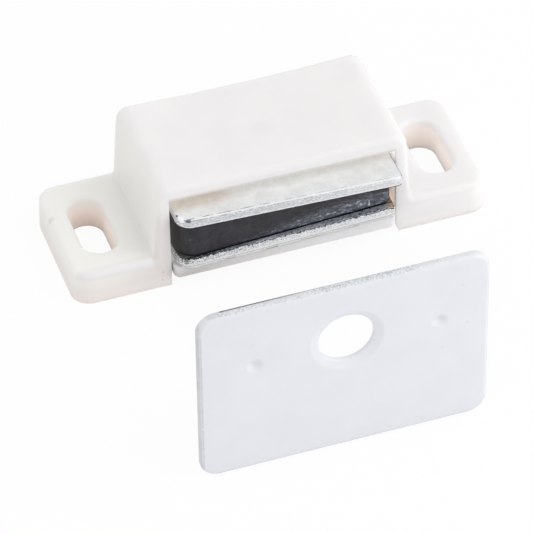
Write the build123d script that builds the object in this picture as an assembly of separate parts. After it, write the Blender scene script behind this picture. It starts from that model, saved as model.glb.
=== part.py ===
"""Magnetic catch: a moulded housing, a loose pole pack (two steel plates and a bar magnet) and its strike plate.

Origin: middle of the mounting face, midway between the two screw slots. X runs along the catch,
-Y is the side that the poles look out of, +Z points away from the panel that it is screwed to.
Lengths are in millimetres, angles in degrees.
"""
import os
from math import radians, tan

from build123d import *

# Pole pack
plate_length = 24.3          # both pole plates, along X
plate_depth = 13.5           # both pole plates, along Y at mid length
plate_thickness = 1.15
plate_corner = 0.55          # plan radius of three of a plate's corners
plate_worn_corner = 1.7      # the fourth, front left, is rounded off more
plate_rollover = 0.18        # slope that the punch leaves along a plate's upper rim
upper_plate_skew = 2.3       # how far the upper plate's pole edge is cropped out of square
lower_plate_skew = -1.5
upper_plate_reach = 1.05     # upper pole edge ahead of the lower one
magnet_shortfall = 0.35      # the magnet is shorter than its plates by this much
magnet_depth = 10.0
magnet_thickness = 4.7
magnet_corner = 1.0
magnet_worn_corner = 2.1
magnet_setback = 0.74        # magnet face behind the lower pole edge
magnet_turn = 3.0            # the magnet clings a little askew between its plates
magnet_shift = -0.2          # and a little to one side of their middle

# Housing
side_play = 0.325            # between a centred plate's end and the pocket wall, each side
side_gap = 0.13              # what is left of it at the right, because the pack lies over
float_gap = 1.75             # free height above the pack, which lets it rock
ceiling_fall = 0.33          # the pocket's ceiling is this much lower at its right end
rear_play = 0.7              # free depth behind the lower plate
plate_proud = 0.85           # lower pole edge ahead of the housing's front
jamb_wall = 1.8              # side wall at the height of the ears
rear_wall = 1.75
roof_wall = 1.55
roof_sink = 0.38             # shrinkage dip of the roof at mid length
wall_draft = 3.6             # of the body's two side walls
mould_draft = 1.15           # of all the other outer walls
ear_thickness = 3.95
ear_corner = 2.1
slot_length = 8.54           # screw slots, along Y
slot_width = 3.8
slot_inner_web = 2.6         # from the body to a slot
slot_outer_web = 2.325       # from a slot to the end of its ear
slot_rim = 0.6
foot_radius = 0.35           # where a side wall meets its ear
shoulder_radius = 1.5        # where a side wall meets the roof
edge_radius = 0.7            # all along the outer top edges
tongue_thickness = 1.5       # sprung floor under the pack
tongue_lift = 1.2            # its underside clears the mounting face, so it can give
tongue_slit = 0.2
tongue_setback = 0.1         # its front edge behind the lower pole edge
tongue_corner = 0.7
tongue_edge = 0.25           # bevel of its lower front edge
tongue_length = 10.9         # behind the lower pole edge
jamb_bevel_width = 0.3       # of the right jamb's foot, beside the tongue
jamb_bevel_height = 1.1
nub_radius = 1.2             # holds the lower plate by its hole
nub_height = 0.7
nub_clearance = 0.4
nub_from_edge = 6.4          # behind the lower pole edge

# Strike plate
strike_width = 30.5
strike_height = 21.7
strike_thickness = 0.8
strike_corner = 2.0
strike_rollover = 0.3        # slope that the punch leaves along its front rim
screw_hole_radius = 2.92
sink_radius = 3.85           # countersink at the front face
sink_depth = 0.4
screw_hole_height = 14.42
pip_spacing = 19.4           # two pressed pips that keep the strike from turning on its screw
pip_height = 14.0
pip_radius = 0.85
pip_tip_radius = 0.15
pip_depth = 0.4
press_shift = 0.25           # the hole and the pips were pressed a little to one side of the middle
strike_standoff = 26.6       # open distance from the lower pole edge to the strike's back
strike_shift = -3.26         # the strike stands a little to one side

# What follows from them
pocket_width = plate_length + 2 * side_play
pack_shift = side_play - side_gap
magnet_length = plate_length - magnet_shortfall
body_width = pocket_width + 2 * jamb_wall
slot_offset = body_width / 2 + slot_inner_web + slot_width / 2
overall_length = 2 * (slot_offset + slot_width / 2 + slot_outer_web)
base_depth = plate_depth - plate_proud + rear_play + rear_wall
front = -base_depth / 2
pocket_rear = base_depth / 2 - rear_wall
pole_edge = front - plate_proud
tongue_top = tongue_lift + tongue_thickness
magnet_bottom = tongue_top + plate_thickness
magnet_top = magnet_bottom + magnet_thickness
pack_top = magnet_top + plate_thickness
ceiling = pack_top + float_gap
height = ceiling + roof_wall
nub_y = pole_edge + nub_from_edge
strike_back = pole_edge - strike_standoff
strike_face = strike_back - strike_thickness


def block(x, y, z):
    """A box given by its (low, high) pairs."""
    size = (x[1] - x[0], y[1] - y[0], z[1] - z[0])
    return Pos(x[0], y[0], z[0]) * Box(*size, align=(Align.MIN, Align.MIN, Align.MIN))


def at_height(shapes, z):
    """The vertices or edges that lie at one height."""
    return [s for s in shapes if abs(s.center().Z - z) < 1e-5]


# Housing ---------------------------------------------------------------------------------------

def front_profile():
    """The housing seen from the front: two ears, drafted side walls and a roof that has sunk a little."""
    end = overall_length / 2 + ear_thickness
    foot = body_width / 2
    shoulder = foot - (height - ear_thickness) * tan(radians(wall_draft))
    left = Polyline((0, 0), (-end, 0), (-end, ear_thickness), (-foot, ear_thickness), (-shoulder, height))
    roof = ThreePointArc((-shoulder, height), (0, height - roof_sink), (shoulder, height))
    face = make_face([left, roof, mirror(left, about=Plane.YZ)])
    feet = [v for v in face.vertices() if abs(abs(v.X) - foot) < 1e-5 and v.Y > ear_thickness / 2]
    face = fillet(feet, foot_radius)
    shoulders = [v for v in face.vertices() if abs(v.Y - height) < 1e-5]
    return Plane.XZ * fillet(shoulders, shoulder_radius)


def housing_shell():
    """Outer form: the front profile carried through the drafted plan outline, with its top edges rounded."""
    plan = extrude(RectangleRounded(overall_length, base_depth, ear_corner), 2 * height, taper=mould_draft)
    shell = plan & extrude(front_profile(), base_depth, both=True)
    rim = [e for e in shell.edges() if is_outer_top_edge(e)]
    return fillet(rim, edge_radius)


def is_outer_top_edge(edge):
    """True for the edges between the profile's surfaces and the plan's walls."""
    middle = edge @ 0.5
    if middle.Z < ear_thickness - 1e-4:
        return False
    along_y = abs((edge % 0.5).Y) > 0.95 and abs(middle.X) < overall_length / 2 - ear_corner
    return not along_y


def pack_pocket():
    """Room for the pole pack, open at the front, under a ceiling that leans."""
    half = pocket_width / 2
    corners = (-half, ceiling), (-half, tongue_top), (half, tongue_top), (half, ceiling - ceiling_fall)
    section = Plane.XZ.offset(-pocket_rear) * Polygon(*corners, align=None)
    return extrude(section, 2 * base_depth)


def tongue_root():
    """Where the sprung floor grows out of the housing."""
    return pole_edge + tongue_length


def floor_gap():
    """Opening through the floor in which the tongue stands."""
    half = pocket_width / 2
    gap = block((-half, half), (front - base_depth, tongue_root()), (-ear_thickness, magnet_bottom))
    bevel = Polygon((half, 0), (half + jamb_bevel_width, 0), (half, jamb_bevel_height), align=None)
    return gap + extrude(Plane.XZ * bevel, base_depth)


def tongue():
    """Sprung floor under the pack, with the nub that keeps the lower plate from sliding out."""
    half = pocket_width / 2 - tongue_slit
    lip = pole_edge + tongue_setback
    leaf = block((-half, half), (lip, tongue_root() + rear_wall), (tongue_lift, tongue_top))
    corners = [e for e in leaf.edges().filter_by(Axis.Z) if e.center().Y < front]
    leaf = fillet(corners, tongue_corner)
    lower_lip = [e for e in at_height(leaf.edges(), tongue_lift) if e.center().Y < lip + tongue_corner]
    leaf = chamfer(lower_lip, tongue_edge)
    nub = Pos(0, nub_y, tongue_top) * Cone(nub_radius, nub_radius - nub_height / 2, nub_height,
                                           align=(Align.CENTER, Align.CENTER, Align.MIN))
    return leaf + nub


def screw_slots():
    slot = extrude(SlotOverall(slot_length, slot_width, rotation=90), height, both=True)
    return [Pos(side * slot_offset, 0, 0) * slot for side in (-1, 1)]


def housing():
    body = housing_shell() - pack_pocket() - floor_gap() - screw_slots() + tongue()
    rims = [e for e in at_height(body.edges(), ear_thickness) if abs(e.center().X) > slot_offset - slot_width
            and abs(e.center().X) < slot_offset + slot_width / 2 + 1e-3
            and abs(e.center().Y) < slot_length / 2 + 1e-3]
    return fillet(rims, slot_rim)


# Pole pack -------------------------------------------------------------------------------------

def worn_outline(outline, corner, worn_corner):
    """Rounds an outline's corners, with a larger radius at the front left one."""
    front_left = outline.vertices().sort_by(Axis.X)[:2].sort_by(Axis.Y)[0]
    rounded = fillet([v for v in outline.vertices() if v != front_left], corner)
    return fillet(rounded.vertices().sort_by_distance(front_left)[0], worn_corner)


def pole_plate(skew, edge):
    """One steel plate with its pole edge at Y = edge, cropped out of square by an angle."""
    half = plate_length / 2
    lean = half * tan(radians(skew))
    rear = edge + plate_depth
    outline = Polygon((-half, edge + lean), (half, edge - lean), (half, rear), (-half, rear), align=None)
    plate = extrude(worn_outline(outline, plate_corner, plate_worn_corner), plate_thickness)
    return Pos(pack_shift, 0, 0) * chamfer(at_height(plate.edges(), plate_thickness), plate_rollover)


def upper_pole_plate():
    return Pos(0, 0, magnet_top) * pole_plate(upper_plate_skew, pole_edge - upper_plate_reach)


def lower_pole_plate():
    hole = Pos(0, nub_y, 0) * Cylinder(nub_radius + nub_clearance, 4 * plate_thickness)
    return Pos(0, 0, tongue_top) * (pole_plate(lower_plate_skew, pole_edge) - hole)


def bar_magnet():
    centre = pole_edge + magnet_setback + magnet_depth / 2
    outline = worn_outline(Rectangle(magnet_length, magnet_depth), magnet_corner, magnet_worn_corner)
    bar = extrude(outline, magnet_thickness)
    return Pos(pack_shift + magnet_shift, centre, magnet_bottom) * Rot(0, 0, magnet_turn) * bar


# Strike plate ----------------------------------------------------------------------------------

def strike_plate():
    blank = extrude(RectangleRounded(strike_width, strike_height, strike_corner), strike_thickness)
    blank = chamfer(at_height(blank.edges(), strike_thickness), strike_rollover)
    hole = Pos(press_shift, screw_hole_height - strike_height / 2, 0)
    blank -= hole * Cylinder(screw_hole_radius, 4 * strike_thickness)
    blank -= hole * Pos(0, 0, strike_thickness - sink_depth) * Cone(
        screw_hole_radius, sink_radius, sink_depth, align=(Align.CENTER, Align.CENTER, Align.MIN))
    for side in (-1, 1):
        place = Pos(press_shift + side * pip_spacing / 2, pip_height - strike_height / 2, 0)
        blank += place * pip()
        blank -= place * Pos(0, 0, strike_thickness) * pip()
    return Pos(strike_shift, strike_back, strike_height / 2) * Rot(90, 0, 0) * blank


def pip():
    """Mark of the punch, pip_depth deep under Z = 0: it stands out of the back and dents the front."""
    return Cone(pip_tip_radius, pip_radius, pip_depth, align=(Align.CENTER, Align.CENTER, Align.MAX))


parts = {
    "housing": housing(),
    "upper_pole_plate": upper_pole_plate(),
    "lower_pole_plate": lower_pole_plate(),
    "bar_magnet": bar_magnet(),
    "strike_plate": strike_plate(),
}

os.makedirs("parts", exist_ok=True)
for name, shape in parts.items():
    export_step(shape, f"parts/{name}.step")
    box = shape.bounding_box()
    print(f"{name:18s} {shape.volume:9.1f} mm3  {box.min} {box.max}")
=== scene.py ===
"""The looks of a magnetic catch.

A white moulded housing holds a ferrite magnet between two zinc plated pole plates, and a painted strike
plate stands beside it. Places in the finishes are in millimetres, in the catch's own frame.
"""
from math import cos, radians, sin

import bmesh
import bpy
from mathutils import Matrix, Vector, noise


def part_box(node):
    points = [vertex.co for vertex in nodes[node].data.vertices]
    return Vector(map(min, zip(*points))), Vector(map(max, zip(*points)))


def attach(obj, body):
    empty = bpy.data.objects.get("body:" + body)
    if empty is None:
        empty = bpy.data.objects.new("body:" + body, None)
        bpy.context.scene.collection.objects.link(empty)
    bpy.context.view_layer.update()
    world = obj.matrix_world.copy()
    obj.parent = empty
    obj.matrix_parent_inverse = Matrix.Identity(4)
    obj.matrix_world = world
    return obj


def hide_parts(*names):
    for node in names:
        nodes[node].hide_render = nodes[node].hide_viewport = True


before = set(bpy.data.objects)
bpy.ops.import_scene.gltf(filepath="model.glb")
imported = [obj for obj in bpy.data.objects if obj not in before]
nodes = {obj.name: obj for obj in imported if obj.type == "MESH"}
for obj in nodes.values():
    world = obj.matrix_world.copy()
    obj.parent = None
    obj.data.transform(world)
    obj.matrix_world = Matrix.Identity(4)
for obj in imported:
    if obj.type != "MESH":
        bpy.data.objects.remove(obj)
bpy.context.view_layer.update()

MM = 0.001


# Shader maths ----------------------------------------------------------------------------------

class Wire:
    """A node's output. Arithmetic on wires and numbers adds Math nodes; node() adds any other node."""

    def __init__(self, socket):
        self.socket = socket

    def node(self, kind, settings=None, inputs=None, output=0):
        """A new node in the same tree. Its settings go in first, then the values or links of its sockets."""
        tree = self.socket.id_data
        new = tree.nodes.new("ShaderNode" + kind)
        for name, value in (settings or {}).items():
            setattr(new, name, value)
        for name, value in (inputs or {}).items():
            if isinstance(value, Wire):
                tree.links.new(value.socket, new.inputs[name])
            else:
                new.inputs[name].default_value = value
        return Wire(new.outputs[output])

    def maths(self, operation, *values):
        return self.node("Math", {"operation": operation}, dict(enumerate(values)))

    def __add__(self, other):
        return self.maths("ADD", self, other)

    __radd__ = __add__

    def __sub__(self, other):
        return self.maths("SUBTRACT", self, other)

    def __rsub__(self, other):
        return self.maths("SUBTRACT", other, self)

    def __mul__(self, other):
        return self.maths("MULTIPLY", self, other)

    __rmul__ = __mul__

    def __abs__(self):
        return self.maths("ABSOLUTE", self)

    def over(self, low, high):
        """0 below low, 1 above high and smooth between them. With high under low it falls instead."""
        if high < low:
            return 1 - self.over(high, low)
        return self.node("MapRange", {"interpolation_type": "SMOOTHSTEP"},
                         {"Value": self, "From Min": low, "From Max": high})

    def either(self, other):
        return self.maths("MAXIMUM", self, other)

    def root(self):
        return self.maths("SQRT", self)


def srgb(red, green, blue):
    """A colour as a screen shows it, 0 to 255, turned into the linear values that shaders take."""
    shown = (red / 255, green / 255, blue / 255)
    return tuple(c / 12.92 if c <= 0.04 else ((c + 0.055) / 1.055) ** 2.4 for c in shown)


def rgba(colour):
    return (*colour, 1)


def tint(start, end, amount):
    """One colour turning into another, each a wire or a plain colour."""
    start, end = (c if isinstance(c, Wire) else rgba(c) for c in (start, end))
    return amount.node("Mix", {"data_type": "RGBA"}, {"Factor": amount, 6: start, 7: end}, output=2)


class Finish:
    """A new material whose patterns read Object coordinates, in millimetres."""

    def __init__(self, name):
        self.material = bpy.data.materials.new(name)
        self.material.use_nodes = True
        self.tree = self.material.node_tree
        self.shader = self.tree.nodes["Principled BSDF"]
        place = Wire(self.tree.nodes.new("ShaderNodeTexCoord").outputs["Object"])
        self.place = place.node("VectorMath", {"operation": "SCALE"}, {0: place, "Scale": 1 / MM})
        split = self.place.node("SeparateXYZ", None, {0: self.place}).socket.node
        self.x, self.y, self.z = (Wire(out) for out in split.outputs)

    def stretched(self, x, y, z):
        """The place with each axis scaled, for patterns that run one way."""
        return self.place.node("VectorMath", {"operation": "MULTIPLY"}, {0: self.place, 1: (x, y, z)})

    def noise(self, scale, detail=2.0, roughness=0.5, place=None):
        return self.place.node("TexNoise", None, {
            "Vector": place or self.place, "Scale": scale, "Detail": detail, "Roughness": roughness})

    def cells(self, scale, place):
        """Distance from the nearest of many scattered points."""
        return self.place.node("TexVoronoi", None, {"Vector": place, "Scale": scale})

    def around(self, point, squeeze=1.0):
        """Distance from a point. A squeeze under 1 draws the spot out along X."""
        offset = self.place.node("VectorMath", {"operation": "SUBTRACT"}, {0: self.place, 1: point})
        offset = offset.node("VectorMath", {"operation": "MULTIPLY"}, {0: offset, 1: (squeeze, 1, 1)})
        return offset.node("VectorMath", {"operation": "LENGTH"}, {0: offset}, output=1)

    def bump(self, height, depth):
        """Surface relief from a 0 to 1 height, with the depth in millimetres."""
        return height.node("Bump", None, {"Height": height, "Distance": depth * MM})

    def set(self, **inputs):
        """Socket values by name, with _ for a space, as links or constants."""
        for name, value in inputs.items():
            socket = self.shader.inputs[name.replace("_", " ")]
            if isinstance(value, Wire):
                self.tree.links.new(value.socket, socket)
            else:
                socket.default_value = value

    def put_on(self, piece):
        piece.data.materials.clear()
        piece.data.materials.append(self.material)


def box_of(node):
    """Lowest and highest corner of a solid, in millimetres."""
    low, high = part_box(node)
    return low / MM, high / MM


# Pieces ----------------------------------------------------------------------------------------

TOUCHING = 0.0001 * MM       # points nearer than this are one point
FLAT_BEND = 0.5              # degrees, under which two faces become one
GRAIN_STEP = 0.12 * MM       # spacing of the cuts that carry the torn grain
EDGE_BAND = 1.2 * MM         # of a plate's top, cut fine behind its cropped edge
ROLLOVER = 0.18 * MM         # height of the punched slope under a plate's upper rim
SHELTERED = -6 * MM          # Y behind which a plate's edge is hidden in the pocket and stays smooth
LEVEL = 0.2                  # a point whose normal leans out by less lies on a flat face
COARSE_GRAIN = 3.1           # lumps to the millimetre
FINE_GRAIN = 7.3
TEAR_FADE = 0.15             # share of the thickness over which the smooth cut turns into the tear
BURR_HEIGHT = 0.2            # share of the thickness that the burr takes up
BURR_END = 2                 # X where the burr is down to half its size
BURR_FADE = 8                # length along X over which it gets there

PAINT_ROUND = 0.13 * MM
PAINT_BEND = 18              # degrees, the least bend that the paint rounds
SHARP_BACK = 0.45 * MM       # of the strike's depth, from the tips of its pips, stays unrounded


def copied(node):
    """A copy of a solid's mesh, its loose triangles joined and its flat faces whole again."""
    mesh = bmesh.new()
    mesh.from_mesh(nodes[node].data)
    bmesh.ops.remove_doubles(mesh, verts=mesh.verts, dist=TOUCHING)
    bmesh.ops.dissolve_limit(mesh, angle_limit=radians(FLAT_BEND), verts=mesh.verts, edges=mesh.edges)
    return mesh


def cut_across(mesh, axis, low, high, spacing):
    """Planes square to an axis, spacing apart, cut new edges into the faces that they meet."""
    count = round((high - low) / spacing)
    normal = Vector((axis == 0, axis == 1, axis == 2))
    for step in range(1, count):
        everything = mesh.verts[:] + mesh.edges[:] + mesh.faces[:]
        place = normal * (low + (high - low) * step / count)
        bmesh.ops.bisect_plane(mesh, geom=everything, dist=TOUCHING, plane_co=place, plane_no=normal)


def finished(mesh, name, node, body, crease):
    """The object of a mesh that stands for a solid of the frame. Edges over crease degrees stay sharp."""
    data = bpy.data.meshes.new(name)
    mesh.to_mesh(data)
    mesh.free()
    data.shade_smooth()
    data.set_sharp_from_angle(angle=radians(crease))
    piece = bpy.data.objects.new(name, data)
    bpy.context.scene.collection.objects.link(piece)
    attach(piece, body)
    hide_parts(node)
    return piece


def share(value):
    """The value, kept between 0 and 1."""
    return min(max(value, 0), 1)


def cropped_plate(name, node, tear_from, tear_depth, burr):
    """A pole plate whose cropped edge is smooth at the top and torn below, with a ragged upper rim.

    The tear starts at the share tear_from of the thickness. Its depth and the burr's size are in millimetres.
    """
    mesh = copied(node)
    low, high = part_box(node)
    cut_across(mesh, 0, low.x, high.x, GRAIN_STEP)
    cut_across(mesh, 1, low.y, low.y + EDGE_BAND, GRAIN_STEP)
    cut_across(mesh, 2, low.z, high.z - ROLLOVER, GRAIN_STEP)
    mesh.normal_update()
    for vert in mesh.verts:
        outward = Vector((vert.normal.x, vert.normal.y, 0))
        if outward.length < LEVEL or vert.co.y > SHELTERED:
            continue
        outward.normalize()
        place = vert.co / MM
        coarse = noise.noise(place * COARSE_GRAIN)
        fine = noise.noise(place * FINE_GRAIN)
        depth = (high.z - vert.co.z) / (high.z - low.z)
        torn = MM * tear_depth * share((depth - tear_from) / TEAR_FADE)
        vert.co -= outward * torn * (0.5 + 0.45 * coarse + 0.35 * fine)
        if depth < BURR_HEIGHT:
            rough = MM * burr * (0.5 + 0.5 * share((BURR_END - place.x) / BURR_FADE))
            vert.co -= outward * rough * (0.5 + fine)
            vert.co.z += rough * (0.5 * coarse + fine - 0.7)
    return finished(mesh, name, node, "pole_pack", crease=25)


def soft_strike():
    """The strike with its rims, its countersink and its pips rounded, as a coat of paint leaves them."""
    mesh = copied("strike_plate")
    _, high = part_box("strike_plate")
    bends = [edge for edge in mesh.edges
             if len(edge.link_faces) == 2 and edge.calc_face_angle() > radians(PAINT_BEND)
             and max(vert.co.y for vert in edge.verts) < high.y - SHARP_BACK]
    bmesh.ops.bevel(mesh, geom=bends, offset=PAINT_ROUND, segments=4, profile=0.5, affect="EDGES",
                    material=-1, clamp_overlap=True)
    return finished(mesh, "painted_strike", "strike_plate", "strike", crease=50)


# The housing's plastic -------------------------------------------------------------------------

EAR_TOP = 3.95
SLOT_OFFSET = 18.775         # of a screw slot's middle from the catch's
SLOT_STRAIGHT = 4.74         # length of a slot's straight walls
SLOT_RADIUS = 1.9
POCKET_HALF = 12.475         # half the pocket's width
POCKET_REAR = 5.8
CEILING = 11.45              # of the pocket, at its left end
CEILING_FALL = 0.33          # to its right end
TONGUE_TOP = 2.7
PACK_TOP = 9.7
SINK_MARK = (-0.1, -0.8, 12.55)
SMUDGE = (-22.6, 2.2, 3.7)
SPECKS = ((-10.2, 5.2, 12.75), (12.1, -2.3, 12.7), (-13.4, -7.5, 2.0), (-13.5, -7.53, 0.95))

WHITE_LIGHT = srgb(243, 241, 241)
WHITE_DARK = srgb(240, 238, 239)
# Painted light on the left side and painted shade on the left ear's front.
LEFT_SIDE_LIGHT = srgb(247, 246, 241)
LEFT_FRONT_SHADE = srgb(244, 240, 236)
# Warm painted shade near the foot.
FOOT_WARM_SHADE = srgb(240, 233, 230)
RIGHT_FOOT_WARM_SHADE = srgb(238, 236, 235)
# Painted warm light and shade on the slot walls, and painted light on the pocket's walls and ceiling.
SLOT_BOUNCED_LIGHT = srgb(247, 240, 236)
SLOT_SHADE = srgb(235, 224, 216)
RIGHT_SLOT_BOUNCED_LIGHT = srgb(246, 241, 238)
RIGHT_SLOT_SHADE = srgb(241, 234, 228)
POCKET_PAINTED_LIGHT = srgb(250, 246, 243)
# Painted shade on the pocket's lip, the jambs and the rounded rims over the front.
LIP_SHADE = srgb(226, 217, 210)
JAMB_SHADE = srgb(234, 229, 227)
RIGHT_JAMB_SHADE = srgb(233, 231, 232)
RIM_SHADE = srgb(238, 236, 236)
# Painted shade on the tongue.
TONGUE_SHADE = srgb(222, 219, 219)
TONGUE_DEEP_SHADE = srgb(203, 198, 197)
# Painted shade of the sink mark in the roof.
SINK_SHADE = srgb(232, 230, 231)
SPECK_SHADE = srgb(150, 140, 135)
SMUDGE_SHADE = srgb(206, 204, 204)

# Painted light, as emission, that stands in for light coming through the plastic.
NO_GLOW = (0, 0, 0)
SLOT_GLOW = (0.10, 0.085, 0.08)
FOOT_GLOW = (0.07, 0.055, 0.05)
EDGE_GLOW = (0.17, 0.14, 0.13)
CEILING_GLOW = (0.27, 0.27, 0.265)
WALL_GLOW = (0.36, 0.26, 0.20)
UPPER_WALL_GLOW = (0.34, 0.33, 0.32)
SLIT_GLOW = (0.16, 0.09, 0.05)


def right_half(f):
    return f.x.over(-1.0, 1.0)


def slot_walls(f):
    """1 on the walls of the two screw slots, fading over their rims."""
    reach = (abs(f.y) - SLOT_STRAIGHT / 2).either(0)
    side = abs(f.x) - SLOT_OFFSET
    from_slot = (side * side + reach * reach).root()
    return from_slot.over(SLOT_RADIUS + 0.5, SLOT_RADIUS) * f.z.over(EAR_TOP - 0.05, EAR_TOP - 1.55)


def pocket_walls(f, front, top):
    """1 on the side walls and the ceiling of the pocket, fading towards its mouth."""
    between = abs(f.x).over(POCKET_HALF + 0.03, POCKET_HALF)
    behind = f.y.over(front + 0.3, front + 1.0) * f.y.over(POCKET_REAR + 0.3, POCKET_REAR + 0.1)
    above = f.z.over(TONGUE_TOP - 0.1, TONGUE_TOP + 0.1) * f.z.over(top - 1.2, top - 1.5)
    return between * behind * above


def ears_and_foot(f, colour, front):
    """Painted light on the left, painted shade on the left ear's front and warm painted shade at the foot."""
    left_ear = f.x.over(-12.9, -14.2)
    colour = tint(colour, LEFT_SIDE_LIGHT, left_ear * 0.8)
    colour = tint(colour, LEFT_FRONT_SHADE, left_ear * f.y.over(front + 1.2, front + 0.4))
    return tint(colour, tint(FOOT_WARM_SHADE, RIGHT_FOOT_WARM_SHADE, right_half(f)), f.z.over(2.4, 0.3))


def openings(f, colour, in_slot, in_pocket):
    """Painted light and shade on the slot walls, darkest towards the foot, and painted light in the pocket.
    """
    right = right_half(f)
    colour = tint(colour, tint(SLOT_BOUNCED_LIGHT, RIGHT_SLOT_BOUNCED_LIGHT, right), in_slot)
    colour = tint(colour, tint(SLOT_SHADE, RIGHT_SLOT_SHADE, right), in_slot * f.z.over(3.2, 0.4))
    return tint(colour, POCKET_PAINTED_LIGHT, in_pocket)


def front_edges(f, colour, front, top):
    """Painted shade on the pocket's lip, on the jambs beside it and on the rounded rims over the front."""
    lip = f.z + f.x * (CEILING_FALL / 2 / POCKET_HALF) - (CEILING - CEILING_FALL / 2)
    lip = lip.over(0.35, 0.1) * lip.over(-0.3, -0.1) * abs(f.x).over(POCKET_HALF + 0.1, POCKET_HALF - 0.1)
    colour = tint(colour, LIP_SHADE, lip * f.y.over(front + 0.9, front + 0.5))

    on_face = f.y.over(front + 0.6, front + 0.4)
    left_jamb = f.x.over(-12.3, -12.5) * f.x.over(-19.0, -13.5) * on_face
    colour = tint(colour, JAMB_SHADE, left_jamb * f.z.over(11.5, 8.0))
    right_jamb = f.x.over(12.3, 12.5) * f.x.over(16.5, 14.0) * on_face
    colour = tint(colour, RIGHT_JAMB_SHADE, right_jamb * f.z.over(2.0, 4.0) * f.z.over(8.0, 6.0))

    ear_rim = f.z.over(EAR_TOP - 1.05, EAR_TOP - 0.65) * abs(f.x).over(14.2, 14.6)
    rim = f.z.over(top - 1.0, top - 0.6).either(ear_rim)
    return tint(colour, RIM_SHADE, rim * f.y.over(front + 1.4, front + 0.6))


def tongue(f, colour, tip):
    """The sprung tongue is thin, and gets painted shade that is deepest low down at its left."""
    on_tongue = abs(f.x).over(POCKET_HALF + 0.03, POCKET_HALF) * f.z.over(TONGUE_TOP + 0.1, TONGUE_TOP - 0.1)
    on_tongue = on_tongue * f.y.over(tip + 1.4, tip + 0.4)
    colour = tint(colour, TONGUE_SHADE, on_tongue * f.x.over(6.0, -6.0))
    return tint(colour, TONGUE_DEEP_SHADE, on_tongue * f.x.over(-5.0, -11.0) * f.z.over(2.5, 1.6))


def small_marks(f, colour):
    """Painted shade of the sink mark in the roof, dark specks in the plastic and a smudge on the left ear."""
    colour = tint(colour, SINK_SHADE, 0.25 * f.around(SINK_MARK).over(1.6, 0.3))
    for speck in SPECKS:
        colour = tint(colour, SPECK_SHADE, 0.5 * f.around(speck).over(0.13, 0.04))
    smudge = (f.around(SMUDGE, 0.6) + 0.4 * f.noise(3.0)).over(0.7, 0.4)
    return tint(colour, SMUDGE_SHADE, 0.4 * smudge)


def light_through(f, in_slot, in_pocket, front):
    """Painted warm light of thin walls: the slots, the foot, the pocket and the slit at the tongue's right.
    """
    glow = tint(NO_GLOW, SLOT_GLOW, in_slot * f.z.over(-0.8, 2.0))
    glow = tint(glow, FOOT_GLOW, f.z.over(1.8, 0.0) * (1 - in_slot))
    glow = tint(glow, EDGE_GLOW, f.z.over(0.35, 0.0) * (1 - in_slot))

    right_wall = f.x.over(POCKET_HALF - 0.1, POCKET_HALF - 0.03)
    pocket_glow = tint(CEILING_GLOW, WALL_GLOW, right_wall * f.z.over(PACK_TOP, PACK_TOP - 1.0))
    pocket_glow = tint(pocket_glow, UPPER_WALL_GLOW, right_wall * f.z.over(PACK_TOP, PACK_TOP + 0.5))
    glow = tint(glow, pocket_glow, in_pocket)

    slit = f.x.over(POCKET_HALF - 0.08, POCKET_HALF - 0.02) * f.x.over(POCKET_HALF + 0.36, POCKET_HALF + 0.32)
    slit = slit * f.z.over(TONGUE_TOP + 0.1, TONGUE_TOP - 0.1)
    slit = slit * f.y.over(front + 0.05, front + 0.3) * f.y.over(POCKET_REAR + 0.3, POCKET_REAR + 0.1)
    return tint(glow, SLIT_GLOW, slit)


def moulded_plastic():
    f = Finish("moulded_plastic")
    low, high = box_of("housing")
    front = -high.y          # the base is centred on the origin, and low.y is the tongue's tip
    in_slot = slot_walls(f)
    in_pocket = pocket_walls(f, front, high.z)

    colour = tint(WHITE_LIGHT, WHITE_DARK, f.noise(0.16, 3.0).over(0.35, 0.7))
    colour = ears_and_foot(f, colour, front)
    colour = openings(f, colour, in_slot, in_pocket)
    colour = front_edges(f, colour, front, high.z)
    colour = tongue(f, colour, low.y)
    colour = small_marks(f, colour)

    f.set(Base_Color=colour, Roughness=0.40 + 0.12 * f.noise(1.1), Normal=f.bump(f.noise(2.5, 4.0), 0.004))
    f.set(Emission_Color=light_through(f, in_slot, in_pocket, front), Emission_Strength=1)
    f.set(Subsurface_Weight=0.8, Subsurface_Radius=(1.0, 0.95, 0.9), Subsurface_Scale=1.6 * MM,
          IOR=1.49, Specular_IOR_Level=0.35)
    f.put_on(nodes["housing"])


# The upper pole plate's zinc -------------------------------------------------------------------

UPPER_EDGE = -9.39           # Y of the cropped edge at mid length
UPPER_LEAN = 0.04            # its reach forward for each millimetre along X
UPPER_SHADE_LINES = ((-0.22, 0.09, 0.8), (0.14, 0.05, 0.6), (0.50, 0.05, 0.5), (0.72, 0.03, 0.35))
GLINT_SPOT = (-11.6, -8.4, 9.6)
BRUISE = (-11.02, -8.92, 9.52)
RIGHT_CORNER = (11.7, -9.75, 9.5)
CORNER_DOT = (-11.85, -7.76, 9.68)

ZINC_LIGHT = srgb(240, 242, 243)
ZINC_DARK = srgb(230, 232, 233)
# A painted highlight band, and painted brown reflection and shade near the pocket.
ZINC_HIGHLIGHT_BAND = srgb(250, 251, 252)
CEILING_REFLECTION_SHADE = srgb(214, 202, 190)
# Painted shade in the grain's hollows, lighter to the right, a painted highlight on the lower rim and painted
# shadow under it.
UPPER_HOLLOW_SHADE = srgb(197, 200, 204)
UPPER_HOLLOW_SHADE_RIGHT = srgb(212, 214, 217)
UPPER_GRAIN = srgb(237, 238, 239)
RIM_HIGHLIGHT = srgb(252, 252, 252)
UNDER_RIM_SHADOW = srgb(46, 44, 48)
# Painted shade for the broken lines along the edge.
LINE_SHADE = srgb(92, 102, 116)
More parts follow.
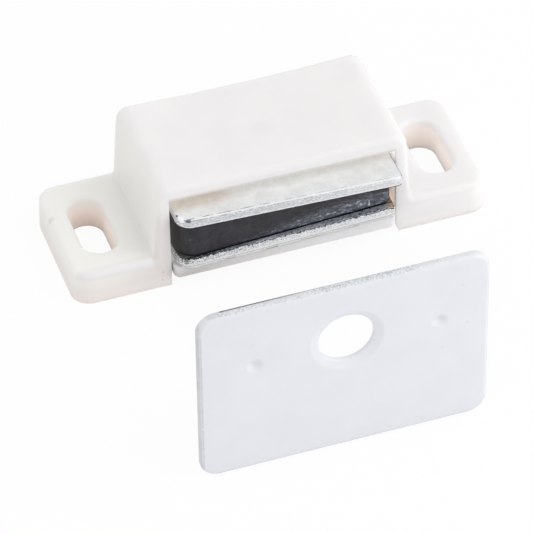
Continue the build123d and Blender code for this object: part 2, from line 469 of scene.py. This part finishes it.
# Painted glint and painted shade of a dent at the left corner, and a painted highlight at the right one.
CORNER_GLINT = srgb(255, 255, 255)
DENT_SHADE = srgb(30, 50, 66)
CORNER_HIGHLIGHT = srgb(238, 240, 243)
DOT_GREY = srgb(70, 74, 72)
# Painted shade along the right end.
PLATE_END_SHADE = srgb(110, 122, 138)


def upper_top(f, fine):
    """Clean plating with a painted highlight band, and painted brown reflection and shade by the pocket."""
    cloud = f.noise(0.8, 4.0, 0.6)
    top = tint(ZINC_DARK, ZINC_LIGHT, (0.6 * cloud + 0.4 * fine).over(0.4, 0.6))
    left = f.x.over(-4.0, -7.5)
    pale = f.y.over(-8.4, -7.3) * f.y.over(-6.4, -7.3) * (1 - left) * f.x.over(9.5, 6.0)
    top = tint(top, ZINC_HIGHLIGHT_BAND, pale * f.noise(0.7, 3.0).over(0.35, 0.6) * 0.7)
    reflected_shade = (f.y + 0.6 * left).over(-7.1, -5.9) * (0.2 + 0.7 * left + 0.2 * f.x.over(6.0, 10.0))
    return tint(top, CEILING_REFLECTION_SHADE, reflected_shade * (0.55 + 0.45 * f.noise(0.6, 4.0, 0.6).over(0.35, 0.65)))


def upper_edge(f, grain, below):
    """Bright grain, painted shade in its hollows, a painted rim highlight and painted shadow where it turns
    under.
    """
    # Painted shade in the hollows, lighter to the right.
    hollows = tint(UPPER_HOLLOW_SHADE, UPPER_HOLLOW_SHADE_RIGHT, f.x.over(2.0, 8.0))
    edge = tint(hollows, UPPER_GRAIN, grain.over(0.4, 0.62))
    edge = tint(edge, RIM_HIGHLIGHT, below.over(0.90, 0.98))
    return tint(edge, UNDER_RIM_SHADOW, below.over(1.02, 1.06))


def upper_shade_lines(f, colour, below):
    """Broken painted shade lines along the edge. Each has its depth below the rim, half its width and its
    darkness.

    The depth runs on over the rim, so that a line with a negative depth lies on the top.
    """
    ahead = (f.y - UPPER_EDGE + UPPER_LEAN * f.x).either(0)
    folded = below - ahead + 0.10 * f.noise(0.5, 3.0) - 0.05
    towards_left = 0.4 + 0.6 * f.x.over(3.0, -7.0)
    for depth, half, dark in UPPER_SHADE_LINES:
        line = abs(folded - depth).over(half, half * 0.3)
        broken = f.noise(0.9, 4.0, 0.7, place=f.stretched(1, 0.3, 3 * depth)).over(0.40, 0.56)
        colour = tint(colour, LINE_SHADE, line * broken * dark * towards_left)
    return colour


def upper_corners(f, colour, right_end):
    """Painted glint and painted dent shade at the left corner, painted highlight and end shade at the right.
    """
    ragged = 0.45 * f.noise(3.2, 3.0, 0.7) - 0.22
    # Painted glint, painted dent shade and a painted corner highlight.
    colour = tint(colour, CORNER_GLINT, (f.around(GLINT_SPOT, 1.3) + ragged).over(0.55, 0.35))
    colour = tint(colour, DENT_SHADE, (f.around(BRUISE, 0.45) + ragged).over(0.27, 0.14) * 0.85)
    colour = tint(colour, CORNER_HIGHLIGHT, (f.around(RIGHT_CORNER, 0.8) + ragged).over(0.42, 0.2))
    colour = tint(colour, DOT_GREY, f.around(CORNER_DOT).over(0.20, 0.10))
    # Painted shade along the top edge of the right end.
    end = f.x.over(right_end - 0.17, right_end - 0.07) * f.z.over(PACK_TOP - 0.4, PACK_TOP - 0.25)
    return tint(colour, PLATE_END_SHADE, end * 0.8)


def upper_zinc(piece):
    f = Finish("zinc_upper")
    _, high = box_of("upper_pole_plate")
    fine = f.noise(4.5, 3.0, 0.6)
    grain = f.noise(6.0, 3.0, 0.7, place=f.stretched(0.6, 0.8, 1.4))
    below = high.z - f.z
    colour = tint(upper_top(f, fine), upper_edge(f, grain, below), below.over(0.05, 0.12))
    colour = upper_shade_lines(f, colour, below)
    colour = upper_corners(f, colour, high.x)
    f.set(Base_Color=colour, Metallic=0.3, Roughness=0.38 + 0.25 * fine, Normal=f.bump(grain, 0.02))
    f.put_on(piece)


# The lower pole plate's zinc -------------------------------------------------------------------

MAGNET_FACE = -7.66          # its Y at mid length
MAGNET_LEAN = 0.0524         # its fall back for each millimetre along X
BARE_FROM = 11.45            # X at the magnet's face, right of which the plate's top lies bare
LOWER_BRUISE = (-11.0, -8.2, 3.4)

RUBBED_DARK = srgb(60, 63, 74)
RUBBED_LIGHT = srgb(164, 169, 182)
# Painted highlights on the rubbed top.
RUBBED_HIGHLIGHT = srgb(226, 230, 236)
LEFT_GREEN = srgb(84, 92, 78)
BARE_TOP = srgb(194, 183, 168)
END_BROWN = srgb(84, 70, 60)
# Painted shadow between the magnet and the plates.
GAP_SHADOW = srgb(8, 8, 12)
# Painted shade in the grain's hollows, lighter to the right.
LOWER_HOLLOW_SHADE = srgb(126, 127, 130)
LOWER_HOLLOW_SHADE_RIGHT = srgb(196, 197, 199)
LOWER_GRAIN = srgb(244, 244, 245)
PIT_GREY = srgb(112, 113, 116)
SHEARED_GREY = srgb(236, 235, 235)
SEAM_GREY = srgb(132, 132, 136)
# Painted shadow along the torn upper rim.
TORN_RIM_SHADOW = srgb(16, 17, 22)
BRUISE_GREEN = srgb(60, 72, 60)


def lower_top(f, low, high):
    """The top ahead of the magnet is rubbed dark with painted highlights, and bare beside the magnet's right
    end.
    """
    rubbed = f.noise(4.0, 4.0, 0.75, place=f.stretched(0.6, 1, 1))
    rubbed = rubbed + 0.19 * f.x.over(-8.0, -2.0) - 0.06 * f.x.over(4.0, 9.0)
    top = tint(RUBBED_DARK, RUBBED_LIGHT, rubbed.over(0.44, 0.62))
    # Painted highlights on the rubbed top.
    top = tint(top, RUBBED_HIGHLIGHT, rubbed.over(0.68, 0.78) * 0.8)
    top = tint(top, LEFT_GREEN, f.x.over(low.x + 2.6, low.x + 1.4) * 0.8)
    from_magnet = f.y - MAGNET_LEAN * f.x - MAGNET_FACE
    bare = (f.x - 0.33 * from_magnet).over(BARE_FROM - 0.05, BARE_FROM + 0.05)
    top = tint(top, BARE_TOP, bare)
    top = tint(top, END_BROWN, f.x.over(high.x - 0.14, high.x - 0.06) * 0.8)
    # Painted shadow along the foot of the magnet's face.
    return tint(top, GAP_SHADOW, abs(from_magnet + 0.05).over(0.09, 0.05))


def lower_edge(f, grain, below):
    """Coarse torn grain with pits and painted shade in its hollows, smoother below, and a seam above the
    lower rim.
    """
    # Painted shade in the hollows, lighter to the right.
    hollows = tint(LOWER_HOLLOW_SHADE, LOWER_HOLLOW_SHADE_RIGHT, f.x.over(-12.0, 2.0))
    edge = tint(hollows, LOWER_GRAIN, grain.over(0.40, 0.58))
    pits = f.cells(3.4, place=f.stretched(0.8, 1, 1.2)).over(0.26, 0.12) * below.over(0.85, 0.55)
    edge = tint(edge, PIT_GREY, pits * 0.75)
    edge = tint(edge, SHEARED_GREY, below.over(0.55, 0.75) * 0.7)
    seam = abs(below - 0.98 + 0.06 * f.noise(0.6)).over(0.07, 0.03)
    return tint(edge, SEAM_GREY, seam * 0.55)


def lower_zinc(piece):
    f = Finish("zinc_lower")
    low, high = box_of("lower_pole_plate")
    below = high.z - f.z
    grain = f.noise(7.5, 3.0, 0.75, place=f.stretched(0.8, 1, 1.1))
    ragged = 0.5 * f.noise(4.2, 3.0) - 0.25
    colour = tint(lower_top(f, low, high), lower_edge(f, grain, below), (below + ragged).over(0.13, 0.17))
    # Painted shadow along the torn upper rim.
    colour = tint(colour, TORN_RIM_SHADOW, abs(below + ragged - 0.11).over(0.07, 0.03) * 0.9)
    colour = tint(colour, BRUISE_GREEN, (f.around(LOWER_BRUISE) + ragged).over(0.40, 0.15) * 0.85)
    f.set(Base_Color=colour, Metallic=0.3, Roughness=0.5, Normal=f.bump(grain, 0.03))
    f.put_on(piece)


# The magnet's ferrite --------------------------------------------------------------------------

CHIP = (-10.54, -8.1, 6.1)
SCRATCH = 9.56               # X of an upright scratch

FERRITE_DARK = srgb(26, 25, 30)
FERRITE_LIGHT = srgb(50, 47, 55)
FERRITE_LEFT = srgb(36, 36, 35)
# Painted shade on the rounded left end.
FERRITE_END_SHADE = srgb(40, 31, 28)
CHIP_GREY = srgb(112, 108, 110)
SCUFF_GREY = srgb(98, 101, 112)
SCUFF_BRIGHT = srgb(196, 202, 212)
SCRATCH_BRIGHT = srgb(214, 220, 228)


def ferrite():
    """Black ferrite, cloudy, with scuffs of pale plating in a wedge that is thickest at the right."""
    f = Finish("ferrite")
    low, _ = box_of("bar_magnet")
    cloud = 0.6 * f.noise(0.8, 4.0, 0.6) + 0.4 * f.noise(2.6, 4.0, 0.7)
    colour = tint(FERRITE_DARK, FERRITE_LIGHT, cloud.over(0.35, 0.65))
    colour = tint(colour, FERRITE_LEFT, f.x.over(low.x + 2.2, low.x + 0.9) * 0.6)
    # Painted shade on the rounded left end.
    colour = tint(colour, FERRITE_END_SHADE, f.x.over(low.x + 0.85, low.x + 0.35))
    colour = tint(colour, CHIP_GREY, f.around(CHIP).over(0.16, 0.06))

    reach = f.x.over(-11.0, 8.0)
    above = f.z - low.z
    streak = f.noise(3.2, 4.0, 0.75, place=f.stretched(0.5, 0.5, 1.2))
    wedge = (above - 2.3 * reach).over(0.6, -1.4) * f.x.over(-9.0, -5.0)
    scuffed = streak + 0.26 * wedge
    colour = tint(colour, SCUFF_GREY, scuffed.over(0.50, 0.82) * wedge.root())
    colour = tint(colour, SCUFF_BRIGHT, scuffed.over(0.78, 0.92) * wedge)
    scratch = abs(f.x - SCRATCH).over(0.10, 0.03) * above.over(1.2, 0.9) * above.over(0.25, 0.4)
    colour = tint(colour, SCRATCH_BRIGHT, scratch * streak.over(0.3, 0.5))
    # Painted shadow along the magnet's foot, where it meets the lower plate.
    colour = tint(colour, GAP_SHADOW, above.over(0.20, 0.10))

    f.set(Base_Color=colour, Roughness=0.5 - 0.1 * reach, Normal=f.bump(f.noise(6.0, 3.0), 0.02))
    f.set(Specular_IOR_Level=0.35)
    f.put_on(nodes["bar_magnet"])


# The strike's paint ----------------------------------------------------------------------------

# Grey marks in the paint. The last two lie at the pips' upper right and are painted shade.
MARKS_AND_PIP_SHADE = ((-3.9, -35.8, 12.0), (-12.9, -35.8, 16.8), (9.1, -35.8, 18.1), (9.6, -35.8, 12.9),
               (7.0, -35.8, 10.2), (7.05, -35.8, 14.3), (-12.35, -35.8, 14.2))

PAINT_LIGHT = srgb(233, 234, 239)
PAINT_DARK = srgb(231, 232, 237)
MARK_AND_SHADE_GREY = srgb(204, 208, 214)
STEEL_LIGHT = srgb(226, 229, 232)
STEEL_DARK = srgb(192, 196, 201)
WORN_PAINT = srgb(214, 216, 219)
# Painted shade and shadow on the rims and along the foot.
ROUNDING_SHADE = srgb(196, 200, 206)
BACK_SHADE = srgb(96, 94, 88)
FOOT_SHADE = srgb(176, 178, 184)


def white_paint(piece):
    """Cool white paint, worn to bare speckled steel along the cropped edge, with painted shade on rims and
    foot.
    """
    f = Finish("white_paint")
    low, high = box_of("strike_plate")
    middle = (low + high) / 2
    half = (high - low) / 2
    colour = tint(PAINT_LIGHT, PAINT_DARK, f.noise(0.3, 2.0).over(0.3, 0.7))
    # Grey marks, and painted shade at the pips.
    for mark in MARKS_AND_PIP_SHADE:
        colour = tint(colour, MARK_AND_SHADE_GREY, 0.3 * (f.around(mark) + 0.3 * f.noise(4.0)).over(0.42, 0.2))

    # The cropped edges are worn, to speckled steel along the straight top and to dull paint elsewhere.
    outer = abs(f.x - middle.x).over(half.x - 0.35, half.x - 0.15)
    outer = outer.either(abs(f.z - middle.z).over(half.z - 0.35, half.z - 0.15))
    ragged = 0.3 * f.noise(2.5, 3.0) - 0.15
    cut = (f.y + ragged).over(low.y + 0.06, low.y + 0.18) * outer
    worn = cut * (0.6 + 0.4 * f.noise(0.35, 3.0).over(0.36, 0.52)) * (0.25 + 0.75 * f.x.over(9.0, 1.0))
    bare = tint(STEEL_DARK, STEEL_LIGHT, f.noise(5.5, 3.0, 0.7).over(0.42, 0.56))
    straight_top = f.z.over(high.z - 0.4, high.z - 0.2) * f.x.over(-17.0, -16.0)
    colour = tint(colour, tint(WORN_PAINT, bare, straight_top), worn)

    # Painted shade along the inner side of the left edge's rounding.
    edge_shade_line = abs(f.x - low.x - 0.3).over(0.10, 0.04) * f.noise(1.2, 3.0).over(0.3, 0.5)
    colour = tint(colour, ROUNDING_SHADE, 0.45 * edge_shade_line * f.z.over(high.z - 1.9, high.z - 2.5))
    # Painted shadow along the back rim, strongest at the top left.
    back_rim = f.y.over(high.y - 0.62, high.y - 0.50) * outer * f.z.over(high.z - 2.7, high.z - 1.2)
    at_left = (0.1 + 0.9 * f.x.over(-5.0, -12.0)) * f.x.over(-16.3, -15.9) * f.x.over(2.0, 0.0)
    colour = tint(colour, BACK_SHADE, 0.9 * back_rim * at_left)
    # Painted shade along the foot.
    colour = tint(colour, FOOT_SHADE, 0.8 * f.z.over(0.42, 0.2))
    f.set(Base_Color=colour, Roughness=0.35 + 0.15 * cut, Metallic=0.2 * worn,
          Normal=f.bump(f.noise(0.8, 2.0), 0.006))
    f.put_on(piece)


# Studio ----------------------------------------------------------------------------------------

CAMERA_AZIMUTH = radians(-18.2)
CAMERA_HEIGHT = radians(42.86)
CAMERA_ROLL = radians(-0.89)
CAMERA_PLACE = Vector((-111.56, -340.61, 324.67)) * MM
SENSOR = 36              # millimetres
LENS = 306.4             # millimetres
AMBIENT = 0.80
SHADOW_KEPT = 0.08       # share of the floor's look that comes from the light on it
FLOOR_SIZE = 6           # metres
FLOOR_WHITE = (0.95, 0.95, 0.95)


def camera():
    data = bpy.data.cameras.new("camera")
    data.sensor_width = SENSOR
    data.lens = LENS
    data.clip_start, data.clip_end = 0.01, 20
    eye = bpy.data.objects.new("camera", data)
    bpy.context.scene.collection.objects.link(eye)
    back = Vector((sin(CAMERA_AZIMUTH) * cos(CAMERA_HEIGHT), -cos(CAMERA_AZIMUTH) * cos(CAMERA_HEIGHT),
                   sin(CAMERA_HEIGHT)))
    right = Vector((0, 0, 1)).cross(back).normalized()
    up = back.cross(right)
    turn = Matrix((right, up, back)).transposed() @ Matrix.Rotation(CAMERA_ROLL, 3, "Z")
    eye.matrix_world = Matrix.Translation(CAMERA_PLACE) @ turn.to_4x4()
    bpy.context.scene.camera = eye


def lamp(name, place, size, power):
    """A square soft box that looks at the catch. Its place and size are in metres."""
    data = bpy.data.lights.new(name, "AREA")
    data.size = size
    data.energy = power
    light = bpy.data.objects.new(name, data)
    bpy.context.scene.collection.objects.link(light)
    place = Vector(place)
    light.matrix_world = Matrix.Translation(place) @ place.to_track_quat("Z", "Y").to_matrix().to_4x4()


def seen_directly(tree):
    """1 for camera, glossy and transmission rays, which see the plain white background."""
    path = tree.nodes.new("ShaderNodeLightPath")
    seen = Wire(path.outputs["Is Camera Ray"])
    for kind in ("Is Glossy Ray", "Is Transmission Ray"):
        seen = seen.either(Wire(path.outputs[kind]))
    return seen


def studio():
    world = bpy.data.worlds.new("studio")
    bpy.context.scene.world = world
    world.use_nodes = True
    tree = world.node_tree
    strength = AMBIENT + (1 - AMBIENT) * seen_directly(tree)
    tree.links.new(strength.socket, tree.nodes["Background"].inputs["Strength"])
    tree.nodes["Background"].inputs["Color"].default_value = rgba((1, 1, 1))
    lamp("key", place=(0.55, -0.35, 0.85), size=0.6, power=1.9)
    lamp("fill", place=(0.16, -0.13, 0.06), size=0.1, power=0.06)


def floor():
    bpy.ops.mesh.primitive_plane_add(size=FLOOR_SIZE)
    plane = bpy.context.object
    plane.name = "floor"
    material = bpy.data.materials.new("floor")
    material.use_nodes = True
    tree = material.node_tree
    shader = tree.nodes["Principled BSDF"]
    shader.inputs["Base Color"].default_value = rgba(FLOOR_WHITE)
    shader.inputs["Roughness"].default_value = 1
    seen = seen_directly(tree)
    glow = seen.node("Emission", None, {"Color": rgba((1, 1, 1))})
    mixed = seen.node("MixShader", None, {0: seen * (1 - SHADOW_KEPT), 1: Wire(shader.outputs[0]), 2: glow})
    tree.links.new(mixed.socket, tree.nodes["Material Output"].inputs["Surface"])
    plane.data.materials.append(material)


moulded_plastic()
upper_zinc(cropped_plate("cropped_upper_plate", "upper_pole_plate", tear_from=0.35, tear_depth=0.05, burr=0))
lower_zinc(cropped_plate("cropped_lower_plate", "lower_pole_plate", tear_from=0, tear_depth=0.10, burr=0.13))
ferrite()
white_paint(soft_strike())
camera()
studio()
floor()
bpy.context.scene.view_settings.view_transform = "Standard"
